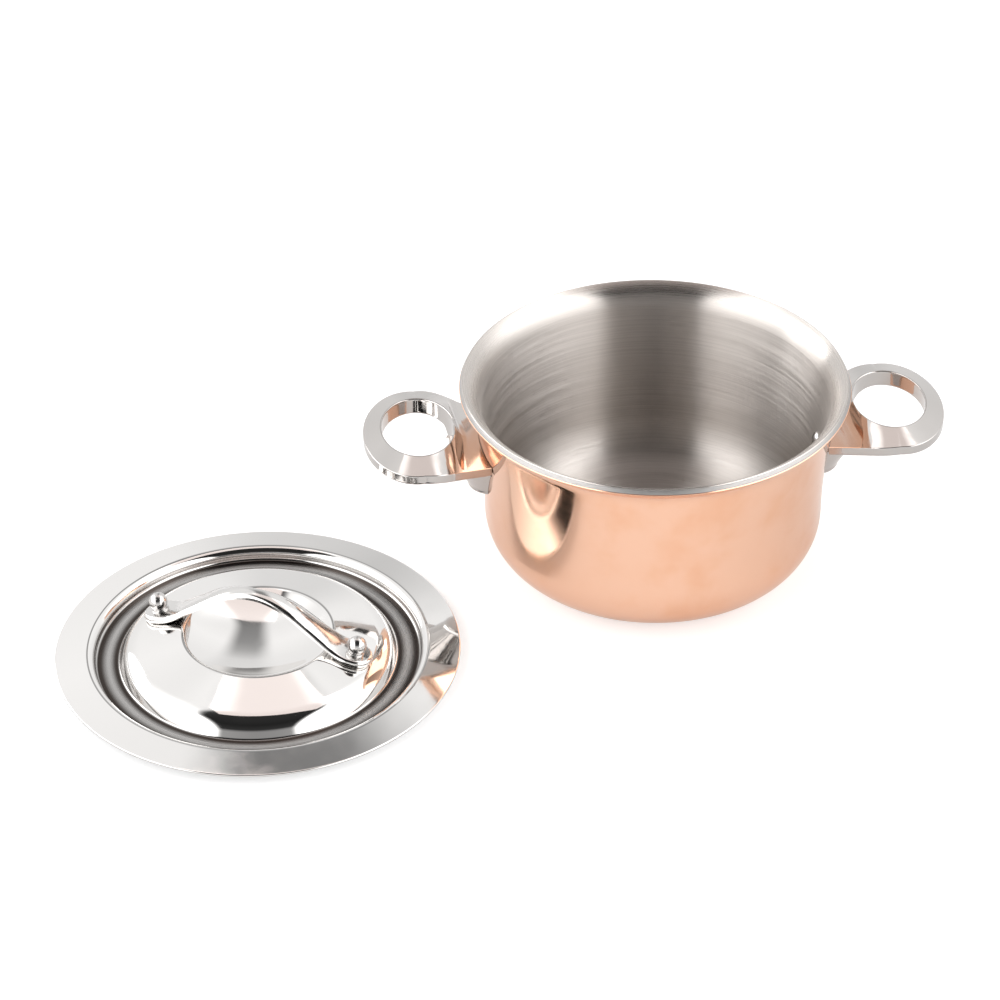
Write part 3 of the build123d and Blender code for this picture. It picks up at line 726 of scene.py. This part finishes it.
def strap_line(sizes):
    """Upper line of the strap from beyond one pad to beyond the other: sloping pads, a bend
    beside each and the arch, whose arcs touch the straight runs between them."""
    slope, past = tan(sizes.pad_slope), 2 * sizes.pad_radius
    bend_reach = sizes.pad_reach - sizes.bend_inset
    bend_height = sizes.pad_height + sizes.bend_inset * slope
    drop = sizes.crest_radius + bend_height - sizes.crest_height
    climb = asin(sizes.crest_radius / sqrt(bend_reach**2 + drop**2)) - atan2(drop, bend_reach)
    apex = bend_height + bend_reach * tan(climb)
    end, end_height = sizes.pad_reach + past, sizes.pad_height - past * slope
    corners = [
        (-end, end_height),
        (-bend_reach, bend_height),
        (0, apex),
        (bend_reach, bend_height),
        (end, end_height),
    ]
    radii = [sizes.bend_radius, sizes.crest_radius, sizes.bend_radius]
    return rounded_path(corners, radii, radians(1))


def strap_plan(sizes):
    """Outline of the strap in plan, as a loop of points along and across: each side is one even
    curve through a few half widths, and each end is half a circle round its pad."""
    pad, middle = sizes.pad_radius, sizes.pad_reach
    knot_shares = np.array([0, 0.28, 0.6, 0.86, 1])
    widths = np.array([sizes.waist, 0.62 * pad, 0.77 * pad, 0.96 * pad, pad])
    curve = np.polyfit(
        np.concatenate([-knot_shares[:0:-1], knot_shares]),
        np.concatenate([widths[:0:-1], widths]),
        8,
    )
    side_x = np.linspace(-middle, middle, 181)[:-1]
    side_y = np.polyval(curve, np.abs(side_x) / middle)
    angles = np.linspace(pi / 2, -pi / 2, 49)[:-1]
    half_x = np.concatenate([side_x, middle + pad * np.cos(angles)])
    half_y = np.concatenate([side_y, pad * np.sin(angles)])
    return np.concatenate([half_x, -half_x]), np.concatenate([half_y, -half_y])


def strap_shape(sizes):
    """Strap bent along its arch. From the middle line out to each point of the plan the section
    runs over the crowned upper face, round the soft edge and back under, where it follows the
    crown a little. A point that lies at x along the strap and h below its upper line stands on
    that line at x, h down its normal."""
    line = strap_line(sizes)
    rim_x, rim_y = strap_plan(sizes)
    middle, soft = sizes.pad_reach, sizes.edge_soft
    spine_x = np.clip(rim_x, -middle, middle)
    # the crown is full over the arch and fades out towards the pads
    crown_share = np.clip(2.4 * (1 - np.abs(spine_x) / middle), 0, 1) ** 0.8
    follow_share = 0.35
    half_span = np.hypot(rim_x - spine_x, rim_y)[:, None]
    # half of the section: how far out each point lies, and how deep below the upper line
    quarter = np.linspace(0, pi / 2, 8)
    flat = (half_span - soft) * np.array([0, 0.12, 0.25, 0.4, 0.55, 0.7, 0.82, 0.92, 0.98])
    edge = half_span - soft + soft * np.sin(quarter)
    share_out = np.hstack([flat, edge]) / half_span
    sunk = np.hstack([0 * flat, soft * (1 - np.cos(quarter)) + 0 * edge])
    crown = sizes.crown * crown_share[:, None] * share_out**2
    under = sizes.strap_thickness - sunk - follow_share * crown
    share_out = np.hstack([share_out, share_out[:, ::-1]])
    depth = np.hstack([sunk + crown, under[:, ::-1]])
    plan_x = spine_x[:, None] + (rim_x - spine_x)[:, None] * share_out
    plan_y = rim_y[:, None] * share_out
    runs = np.gradient(line, axis=0)
    runs /= np.linalg.norm(runs, axis=1)[:, None]
    x = plan_x + np.interp(plan_x, line[:, 0], runs[:, 1]) * depth
    z = np.interp(plan_x, line[:, 0], line[:, 1]) - np.interp(plan_x, line[:, 0], runs[:, 0]) * depth
    along, across, foot = strap_axes(sizes)
    up = np.array([0, 0, 1])
    points = foot + x[..., None] * along + plan_y[..., None] * across + z[..., None] * up
    faces = grid_faces(*depth.shape, close_rows=True, close_columns=False)
    return points.reshape(-1, 3), [faces]


def ball_profile(sizes):
    """Section of a ball-headed rivet: domed tail, shank, collar, neck and ball."""
    tail = dome(sizes.tail, sizes.tail_rise) + [0, -sizes.tail_seat - sizes.tail_rise]
    seat = sqrt(sizes.ball**2 - sizes.ball_neck**2)
    centre = sizes.ball_neck_height + seat
    start = atan2(-seat, sizes.ball_neck)
    ball = arc((0, centre), sizes.ball, start, pi / 2, 28)
    soft, crisp = 0.12 * MM, 0.02 * MM
    corners = [
        tail[-1],
        (sizes.shank, -sizes.tail_seat),
        (sizes.shank, 0),
        (sizes.collar, 0),
        (sizes.collar, sizes.collar_height),
        (sizes.ball_neck, sizes.collar_height),
        ball[0],
    ]
    stem = rounded_path(corners, [crisp, crisp, crisp, soft, soft], radians(20))
    profile = np.vstack([tail, stem[1:], ball[1:]])
    profile[-1, 0] = 0
    return supported(profile, gap=0.06 * MM)


# Materials


def add_node(tree, kind, inputs=None, **settings):
    """Adds a node, sets its properties, and gives its inputs values or other nodes' outputs."""
    node = tree.nodes.new(kind)
    for key, value in settings.items():
        setattr(node, key, value)
    for key, value in (inputs or {}).items():
        if isinstance(value, bpy.types.NodeSocket):
            tree.links.new(value, node.inputs[key])
        else:
            node.inputs[key].default_value = value
    return node


def start_metal(name, base, roughness, **fixed):
    """A metal's material, its node tree and its shader, with a base colour and constants."""
    material = bpy.data.materials.new(name)
    material.use_nodes = True
    tree = material.node_tree
    tree.nodes.clear()
    shader = add_node(
        tree,
        "ShaderNodeBsdfPrincipled",
        {"Base Color": base, "Metallic": 1.0, "Roughness": roughness},
    )
    for key, value in fixed.items():
        shader.inputs[key.replace("_", " ").title()].default_value = value
    add_node(tree, "ShaderNodeOutputMaterial", {"Surface": shader.outputs[0]})
    material.diffuse_color = base
    return material, tree, shader


def object_place(tree, centre=(0, 0, 0)):
    """Object coordinates, counted from a centre."""
    place = add_node(tree, "ShaderNodeTexCoord")
    shift = add_node(
        tree,
        "ShaderNodeMapping",
        {"Vector": place.outputs["Object"], "Location": [-value for value in centre]},
    )
    return shift.outputs[0]


def calculate(tree, operation, *values):
    """One sum on values or outputs."""
    inputs = dict(enumerate(values))
    return add_node(tree, "ShaderNodeMath", inputs, operation=operation).outputs[0]


def mix_colours(tree, factor, first, second):
    """The first colour where the factor is 0 and the second where it is 1."""
    inputs = {"Factor": factor, 6: first, 7: second}
    return add_node(tree, "ShaderNodeMix", inputs, data_type="RGBA").outputs[2]


def turned_lines(tree, place, pitch, wander):
    """Fine lines that run round an axis: noise read at (x/r, y/r, r + z), so that it changes fast
    across the turning direction, once each pitch, and slowly along it."""
    parts = add_node(tree, "ShaderNodeSeparateXYZ", {0: place})
    flat = add_node(
        tree, "ShaderNodeCombineXYZ", {0: parts.outputs[0], 1: parts.outputs[1], 2: 0.0}
    )
    radius = add_node(tree, "ShaderNodeVectorMath", {0: flat.outputs[0]}, operation="LENGTH")
    unit = add_node(tree, "ShaderNodeVectorMath", {0: flat.outputs[0]}, operation="NORMALIZE")
    ends = add_node(tree, "ShaderNodeSeparateXYZ", {0: unit.outputs[0]})
    travel = calculate(tree, "ADD", radius.outputs["Value"], parts.outputs[2])
    fast = calculate(tree, "MULTIPLY", travel, 1 / pitch)
    vector = add_node(
        tree,
        "ShaderNodeCombineXYZ",
        {
            0: calculate(tree, "MULTIPLY", ends.outputs[0], wander),
            1: calculate(tree, "MULTIPLY", ends.outputs[1], wander),
            2: fast,
        },
    )
    noise = add_node(
        tree,
        "ShaderNodeTexNoise",
        {"Vector": vector.outputs[0], "Scale": 1.0, "Detail": 3.0, "Roughness": 0.6},
    )
    return noise.outputs[0], radius.outputs["Value"]


def blotches(tree, place, size, detail=2.0):
    """Soft patches of about the given size."""
    noise = add_node(
        tree,
        "ShaderNodeTexNoise",
        {"Vector": place, "Scale": 1 / size, "Detail": detail, "Roughness": 0.5},
    )
    return noise.outputs[0]


def spread_range(tree, value, low, high, new_low, new_high):
    """Maps a value from one range to another, clamped, with soft ends."""
    node = add_node(
        tree,
        "ShaderNodeMapRange",
        {"Value": value, 1: low, 2: high, 3: new_low, 4: new_high},
        interpolation_type="SMOOTHSTEP",
    )
    return node.outputs[0]


def press_bump(tree, shader, height, distance, strength=1.0):
    """Lets a height raise or lower the surface by up to a distance."""
    bump = add_node(
        tree, "ShaderNodeBump", {"Height": height, "Distance": distance, "Strength": strength}
    )
    tree.links.new(bump.outputs[0], shader.inputs["Normal"])


def polished_copper(finishes):
    """Copper sheet polished on a buffing wheel: a warm mirror, faintly hazed, with first orange
    tarnish in patches and hair lines round the pan from the wheel."""
    material, tree, shader = start_metal("polished_copper_sheet", finishes.copper, 0.1)
    place = object_place(tree)
    patch = blotches(tree, place, 16 * MM, 3.0)
    warm = spread_range(tree, patch, 0.4, 0.75, 0.0, 0.5)
    tint = mix_colours(tree, warm, finishes.copper, finishes.copper_warm)
    tree.links.new(tint, shader.inputs["Base Color"])
    lines, _ = turned_lines(tree, place, 0.35 * MM, 3.0)
    haze = spread_range(tree, patch, 0.35, 0.7, 0.075, 0.13)
    rough = calculate(tree, "MULTIPLY", spread_range(tree, lines, 0.3, 0.75, 0.85, 1.35), haze)
    tree.links.new(rough, shader.inputs["Roughness"])
    waves = blotches(tree, place, 22 * MM, 1.0)
    height = calculate(tree, "ADD", waves, calculate(tree, "MULTIPLY", lines, 0.001))
    press_bump(tree, shader, height, 0.04 * MM)
    return material


def brushed_lining(finishes):
    """Stainless steel spun against emery: fine rings that stretch each reflection up and down
    the wall, finer and brighter on the flared rim."""
    material, tree, shader = start_metal(
        "brushed_stainless_lining", finishes.lining, 0.3, anisotropic=1.0, anisotropic_rotation=0.25
    )
    tangent = add_node(tree, "ShaderNodeTangent", direction_type="RADIAL", axis="Z")
    tree.links.new(tangent.outputs[0], shader.inputs["Tangent"])
    place = object_place(tree)
    lines, radius = turned_lines(tree, place, 0.22 * MM, 1.6)
    coarse, _ = turned_lines(tree, place, 0.8 * MM, 0.9)
    fine_part = calculate(tree, "MULTIPLY", lines, 0.6)
    both = calculate(tree, "MULTIPLY_ADD", coarse, 0.4, fine_part)
    flare_start, flare_end = 53.5 * MM, 56.5 * MM
    flare = spread_range(tree, radius, flare_start, flare_end, 0.0, 1.0)
    worn = spread_range(tree, both, 0.35, 0.65, 0.3, 0.42)
    smooth = spread_range(tree, both, 0.35, 0.65, 0.22, 0.3)
    rough = add_node(tree, "ShaderNodeMix", {"Factor": flare, 2: worn, 3: smooth})
    tree.links.new(rough.outputs[0], shader.inputs["Roughness"])
    shade = spread_range(tree, both, 0.3, 0.7, 0.86, 1.05)
    tone = add_node(
        tree, "ShaderNodeVectorMath", {0: finishes.lining[:3], "Scale": shade}, operation="SCALE"
    )
    tree.links.new(tone.outputs[0], shader.inputs["Base Color"])
    press_bump(tree, shader, both, 0.012 * MM)
    return material


def cut_aluminium(finishes):
    """Aluminium ply bared at the trimmed rim: soft, finely scored along the cut, duller than the
    steel beside it."""
    material, tree, shader = start_metal("cut_aluminium_edge", finishes.core, 0.38)
    place = object_place(tree)
    lines, _ = turned_lines(tree, place, 0.12 * MM, 40.0)
    rough = spread_range(tree, lines, 0.3, 0.7, 0.3, 0.5)
    tree.links.new(rough, shader.inputs["Roughness"])
    press_bump(tree, shader, lines, 0.01 * MM)
    return material


def polished_casting(finishes):
    """Stainless casting polished by hand on a wheel: a mirror whose faces roll very slightly,
    with faint hazes left by the compound."""
    material, tree, shader = start_metal("polished_stainless_casting", finishes.casting, 0.06)
    place = object_place(tree)
    haze = blotches(tree, place, 5 * MM, 4.0)
    rough = spread_range(tree, haze, 0.35, 0.75, 0.045, 0.14)
    tree.links.new(rough, shader.inputs["Roughness"])
    roll = blotches(tree, place, 6 * MM, 1.0)
    press_bump(tree, shader, roll, 0.035 * MM)
    return material


def polished_lid(finishes, sizes):
    """Pressed stainless sheet, mirror polished on its dome and flange, with a satin gutter where
    the wheel can't reach. The gutter's dark colour is painted shade for the dark between its walls,
    ringed by one band where that painted shade is lighter."""
    material, tree, shader = start_metal("polished_pressed_stainless", finishes.lid, 0.06)
    place = object_place(tree, (sizes.reach_x, sizes.reach_y, 0))
    lines, radius = turned_lines(tree, place, 0.3 * MM, 1.5)
    start, end = sizes.gutter_start, sizes.gutter_end
    rise = spread_range(tree, radius, start - 0.4 * MM, start + 0.6 * MM, 0.0, 1.0)
    fall = spread_range(tree, radius, end - 0.64 * MM, end + 0.06 * MM, 1.0, 0.0)
    gutter = calculate(tree, "MULTIPLY", rise, fall)
    # the one ring where the gutter's painted shade is lighter
    band_rise = spread_range(tree, radius, start + 1.0 * MM, start + 3.2 * MM, 0.0, 0.7)
    band_fall = spread_range(tree, radius, start + 3.2 * MM, start + 5.8 * MM, 1.0, 0.0)
    band = calculate(tree, "MULTIPLY", band_rise, band_fall)
    satin = spread_range(tree, lines, 0.3, 0.7, 0.2, 0.34)
    haze = blotches(tree, place, 9 * MM, 4.0)
    mirror = spread_range(tree, haze, 0.35, 0.75, 0.04, 0.1)
    rough = add_node(tree, "ShaderNodeMix", {"Factor": gutter, 2: mirror, 3: satin})
    tree.links.new(rough.outputs[0], shader.inputs["Roughness"])
    # painted shade: the gutter's colour is darkened for the shade between its walls, and lighter in the
    # one ring
    painted_gutter_shade = mix_colours(tree, band, finishes.gutter, finishes.lid)
    tone = mix_colours(tree, gutter, finishes.lid, painted_gutter_shade)
    tree.links.new(tone, shader.inputs["Base Color"])
    roll = blotches(tree, place, 14 * MM, 1.0)
    height = calculate(tree, "ADD", roll, calculate(tree, "MULTIPLY", lines, 0.0015))
    press_bump(tree, shader, height, 0.05 * MM)
    return material


def tumbled_steel(name, base, low, high, patch):
    """Stainless strip or rivet wire, tumbled and then polished: a soft mirror whose roughness
    varies between low and high from patch to patch, with small dents rolled smooth."""
    material, tree, shader = start_metal(name, base, high)
    place = object_place(tree)
    haze = blotches(tree, place, patch, 4.0)
    rough = spread_range(tree, haze, 0.35, 0.7, low, high)
    tree.links.new(rough, shader.inputs["Roughness"])
    press_bump(tree, shader, blotches(tree, place, patch / 2, 2.0), 0.02 * MM)
    return material


# Operators


class PanPiece:
    """What every operator of the pan shares"""

    bl_options = {"REGISTER", "UNDO"}


class PAN_OT_wall(PanPiece, bpy.types.Operator):
    """Add the pan's wall as three plies: copper, aluminium and steel"""

    bl_idname = "pan.add_wall"
    bl_label = "Wall"

    def execute(self, context):
        sizes, finishes = context.scene.pan_sizes, context.scene.finishes
        core_depth = sizes.copper + sizes.core
        inner_depth = core_depth + sizes.lining
        seam = sizes.seam_round
        shell = ply_profile(sizes, 0, sizes.copper, sizes.copper_round, seam)
        core = ply_profile(sizes, sizes.copper, core_depth, seam, seam)
        lining = ply_profile(sizes, core_depth, inner_depth, seam, sizes.lip_round)
        plies = (
            ("copper_shell", "copper", shell, polished_copper(finishes)),
            ("aluminium_core", "aluminium_core", core, cut_aluminium(finishes)),
            ("steel_lining", "steel_lining", lining, brushed_lining(finishes)),
        )
        for node, slot, profile, material in plies:
            add_piece(f"pan.{node}", "pan", node, [lathe(profile)], material)
        return {"FINISHED"}


class PAN_OT_handles(PanPiece, bpy.types.Operator):
    """Add the two cast ring handles"""

    bl_idname = "pan.add_handles"
    bl_label = "Ring handles"

    def execute(self, context):
        scene = context.scene
        material = polished_casting(scene.finishes)
        shapes = [
            handle_ring(scene.pan_sizes, scene.handle_sizes),
            handle_foot(scene.pan_sizes, scene.handle_sizes),
        ]
        add_piece("pan.right_handle", "pan", "right_handle", shapes, material)
        shapes = [mirrored(shape) for shape in shapes]
        add_piece("pan.left_handle", "pan", "left_handle", shapes, material)
        return {"FINISHED"}


class PAN_OT_rivets(PanPiece, bpy.types.Operator):
    """Add the rivets that hold the ring handles"""

    bl_idname = "pan.add_rivets"
    bl_label = "Handle rivets"

    def execute(self, context):
        scene = context.scene
        finish = scene.finishes.rivet
        material = tumbled_steel("turned_stainless_rivet", finish, 0.14, 0.28, patch=2 * MM)
        for side, name in ((1, "right_handle_rivet"), (-1, "left_handle_rivet")):
            shape = handle_rivet(scene.pan_sizes, scene.handle_sizes, side)
            add_piece(f"pan.{name}", "pan", name, [shape], material)
        return {"FINISHED"}


class PAN_OT_lid(PanPiece, bpy.types.Operator):
    """Add the lid's pressed sheet"""

    bl_idname = "pan.add_lid"
    bl_label = "Lid sheet"

    def execute(self, context):
        scene = context.scene
        sizes = scene.lid_sizes
        shape = lathe(lid_profile(sizes), (sizes.reach_x, sizes.reach_y, 0))
        material = polished_lid(scene.finishes, sizes)
        add_piece("lid.disc", "lid", "lid_disc", [shape], material)
        return {"FINISHED"}


class PAN_OT_strap(PanPiece, bpy.types.Operator):
    """Add the lid's arched strap"""

    bl_idname = "pan.add_strap"
    bl_label = "Lid strap"

    def execute(self, context):
        scene = context.scene
        finish = scene.finishes.strap
        shape = strap_shape(scene.lid_sizes)
        material = tumbled_steel("polished_stainless_strip", finish, 0.09, 0.2, patch=4 * MM)
        piece = add_piece("lid.strap", "lid", "lid_handle", [shape], material)
        close_seams(piece)
        return {"FINISHED"}


class PAN_OT_ball_rivets(PanPiece, bpy.types.Operator):
    """Add the ball-headed rivets that hold the strap"""

    bl_idname = "pan.add_ball_rivets"
    bl_label = "Ball rivets"

    def execute(self, context):
        scene = context.scene
        sizes = scene.lid_sizes
        along, _, foot = strap_axes(sizes)
        finish = scene.finishes.rivet
        material = tumbled_steel("turned_stainless_ball", finish, 0.16, 0.3, patch=2 * MM)
        for side, name in ((-1, "left"), (1, "right")):
            up = side * sin(sizes.pad_slope) * along + np.array([0, 0, cos(sizes.pad_slope)])
            down = side * cos(sizes.pad_slope) * along - np.array([0, 0, sin(sizes.pad_slope)])
            origin = foot + side * sizes.pad_reach * along + np.array([0, 0, sizes.pad_height])
            shape = lathe(ball_profile(sizes), origin, up, down, 56)
            node = f"lid_ball_rivet_{name}"
            add_piece(f"lid.ball_rivet_{name}", "lid", node, [shape], material)
        return {"FINISHED"}


class PAN_OT_studio(bpy.types.Operator):
    """Add the floor, the lights and the camera"""

    bl_idname = "pan.add_studio"
    bl_label = "Studio"

    def execute(self, context):
        scene = context.scene
        settings = scene.studio
        scene.view_settings.view_transform = "Standard"
        add_floor(settings)
        light_room(scene, settings)
        add_softbox(
            "key_softbox",
            heading=14,
            elevation=76,
            distance=1.3,
            size=(1.0, 0.68),
            power=settings.key_power,
            tint="#FFF3EF",
        )
        add_softbox(
            "side_softbox",
            heading=-62,
            elevation=22,
            distance=1.0,
            size=(0.6, 0.5),
            power=settings.side_power,
            tint="#FFFFFF",
        )
        add_camera(scene, settings)
        return {"FINISHED"}


def add_floor(settings):
    """Floor of pale matt paper, which keeps soft shadows. A glow that the camera sees lifts the
    paper to white, and a weaker one lifts the paper that polished metal mirrors."""
    half_width = 3.0
    mesh = bpy.data.meshes.new("floor")
    corners = np.array([(-1, -1, 0), (1, -1, 0), (1, 1, 0), (-1, 1, 0)]) * half_width
    mesh.from_pydata(corners.tolist(), [], [(0, 1, 2, 3)])
    material = bpy.data.materials.new("matt_white_paper")
    material.use_nodes = True
    tree = material.node_tree
    tree.nodes.clear()
    rays = add_node(tree, "ShaderNodeLightPath").outputs
    mirrored_glow = calculate(tree, "MULTIPLY", rays["Is Glossy Ray"], settings.mirror_glow)
    strength = calculate(
        tree, "MULTIPLY_ADD", rays["Is Camera Ray"], settings.floor_glow, mirrored_glow
    )
    paper = add_node(tree, "ShaderNodeBsdfDiffuse", {"Color": linear("#CCCCCC")})
    glow = add_node(
        tree, "ShaderNodeEmission", {"Color": linear("#FFFFFF"), "Strength": strength}
    )
    both = add_node(tree, "ShaderNodeAddShader", {0: paper.outputs[0], 1: glow.outputs[0]})
    add_node(tree, "ShaderNodeOutputMaterial", {"Surface": both.outputs[0]})
    mesh.materials.append(material)
    floor = bpy.data.objects.new("floor", mesh)
    bpy.context.scene.collection.objects.link(floor)


def grey_ramp(tree, value, stops):
    """Greys that change with a value; each stop is a value and its brightness."""
    ramp = add_node(tree, "ShaderNodeValToRGB", {0: value})
    elements = ramp.color_ramp.elements
    while len(elements) < len(stops):
        elements.new(0.5)
    for element, (position, level) in zip(elements, stops):
        element.position = position
        element.color = (level, level, level, 1)
    return ramp.outputs[0]


def light_room(scene, settings):
    """A studio with white walls to the left and right, a grey one behind, a dark ceiling and
    darkness where the photographer stands. Each ramp runs from the horizon to straight up. The
    camera sees plain white."""
    world = bpy.data.worlds.new("studio_room")
    world.use_nodes = True
    tree = world.node_tree
    tree.nodes.clear()
    place = add_node(tree, "ShaderNodeTexCoord").outputs["Generated"]
    _, depth, height = add_node(tree, "ShaderNodeSeparateXYZ", {0: place}).outputs
    walls = grey_ramp(
        tree, height, ((0, 1), (0.3, 1.05), (0.6, 1.15), (0.85, 1.05), (0.95, 0.5), (1, 0.1))
    )
    back = grey_ramp(
        tree, height, ((0, 0.9), (0.3, 0.85), (0.5, 0.5), (0.62, 0.36), (0.8, 0.28), (1, 0.05))
    )
    front = grey_ramp(
        tree, height, ((0, 0.95), (0.2, 0.8), (0.36, 0.35), (0.5, 0.04), (0.8, 0.02), (1, 0.03))
    )
    # how far to the side a direction points, as the camera sees it
    right = (cos(settings.heading), -sin(settings.heading), 0)
    across = add_node(tree, "ShaderNodeVectorMath", {0: place, 1: right}, operation="DOT_PRODUCT")
    sideways = calculate(tree, "ABSOLUTE", across.outputs["Value"])
    # the back wall is narrower than the dark gap in front of it
    behind = spread_range(tree, depth, -0.1, 0.6, 0.0, 1.0)
    widened = calculate(tree, "MULTIPLY_ADD", behind, 0.36, sideways)
    beside = spread_range(tree, widened, 0.41, 0.53, 0.0, 1.0)
    room = mix_colours(tree, beside, mix_colours(tree, behind, front, back), walls)
    seen = add_node(tree, "ShaderNodeLightPath").outputs["Is Camera Ray"]
    # the walls beside and in front of the pan are lit brighter than those behind it
    nearer = calculate(tree, "MULTIPLY", calculate(tree, "SUBTRACT", 1.0, behind), beside)
    hidden = calculate(tree, "SUBTRACT", 1.0, seen)
    near_and_hidden = calculate(tree, "MULTIPLY", nearer, hidden)
    strength = calculate(tree, "MULTIPLY_ADD", near_and_hidden, settings.near_glow, 1.0)
    tone = mix_colours(tree, seen, room, linear("#FFFFFF"))
    glow = add_node(tree, "ShaderNodeBackground", {"Color": tone, "Strength": strength})
    add_node(tree, "ShaderNodeOutputWorld", {"Surface": glow.outputs[0]})
    scene.world = world


def add_softbox(name, heading, elevation, distance, size, power, tint):
    """A flat lamp that faces the pan's middle, at a distance in metres, from a heading in degrees
    clockwise from the Y axis and an elevation in degrees. Metal mirrors it; the camera doesn't
    see it."""
    pan_middle = Vector((0, 0, 30 * MM))
    a, e = radians(heading), radians(elevation)
    direction = Vector((sin(a) * cos(e), cos(a) * cos(e), sin(e)))
    lamp = bpy.data.lights.new(name, "AREA")
    lamp.shape = "RECTANGLE"
    lamp.size, lamp.size_y = size
    lamp.energy = power
    lamp.color = linear(tint)[:3]
    holder = bpy.data.objects.new(name, lamp)
    holder.location = pan_middle + direction * distance
    holder.rotation_euler = direction.to_track_quat("Z", "Y").to_euler()
    holder.visible_camera = False
    bpy.context.scene.collection.objects.link(holder)


def add_camera(scene, settings):
    """Camera at the viewing angle of the photograph."""
    heading, pitch = settings.heading, settings.pitch
    forward = Vector((sin(heading) * cos(pitch), cos(heading) * cos(pitch), -sin(pitch)))
    right = forward.cross(Vector((0, 0, 1))).normalized()
    up = right.cross(forward)
    turned = Matrix((right, up, -forward)).transposed() @ Matrix.Rotation(settings.roll, 3, "Z")
    data = bpy.data.cameras.new("camera")
    data.sensor_width = 36
    data.lens = settings.focal
    data.clip_start, data.clip_end = 0.05, 20
    camera = bpy.data.objects.new("camera", data)
    camera.location = (settings.camera_x, settings.camera_y, settings.camera_z)
    camera.rotation_euler = turned.to_euler()
    scene.collection.objects.link(camera)
    scene.camera = camera


class PAN_PT_panel(bpy.types.Panel):
    """Lists the pan's pieces and sizes in the sidebar"""

    bl_label = "Copper pan"
    bl_idname = "PAN_PT_panel"
    bl_space_type = "VIEW_3D"
    bl_region_type = "UI"
    bl_category = "Copper pan"

    def draw(self, context):
        for operator in OPERATORS:
            self.layout.operator(operator.bl_idname)
        for name, group in SETTINGS.items():
            box = self.layout.box()
            box.label(text=group.__doc__)
            for key in group.__annotations__:
                box.prop(getattr(context.scene, name), key)


OPERATORS = (
    PAN_OT_studio,
    PAN_OT_wall,
    PAN_OT_handles,
    PAN_OT_rivets,
    PAN_OT_lid,
    PAN_OT_strap,
    PAN_OT_ball_rivets,
)
CLASSES = (*SETTINGS.values(), *OPERATORS, PAN_PT_panel)


def register():
    for cls in CLASSES:
        bpy.utils.register_class(cls)
    for name, group in SETTINGS.items():
        setattr(bpy.types.Scene, name, PointerProperty(type=group))


def unregister():
    for name in SETTINGS:
        delattr(bpy.types.Scene, name)
    for cls in reversed(CLASSES):
        bpy.utils.unregister_class(cls)


def main():
    """Builds every piece and the stage."""
    register()
    bpy.ops.pan.add_studio()
    bpy.ops.pan.add_wall()
    bpy.ops.pan.add_handles()
    bpy.ops.pan.add_rivets()
    bpy.ops.pan.add_lid()
    bpy.ops.pan.add_strap()
    bpy.ops.pan.add_ball_rivets()


if __name__ == "__main__":
    main()
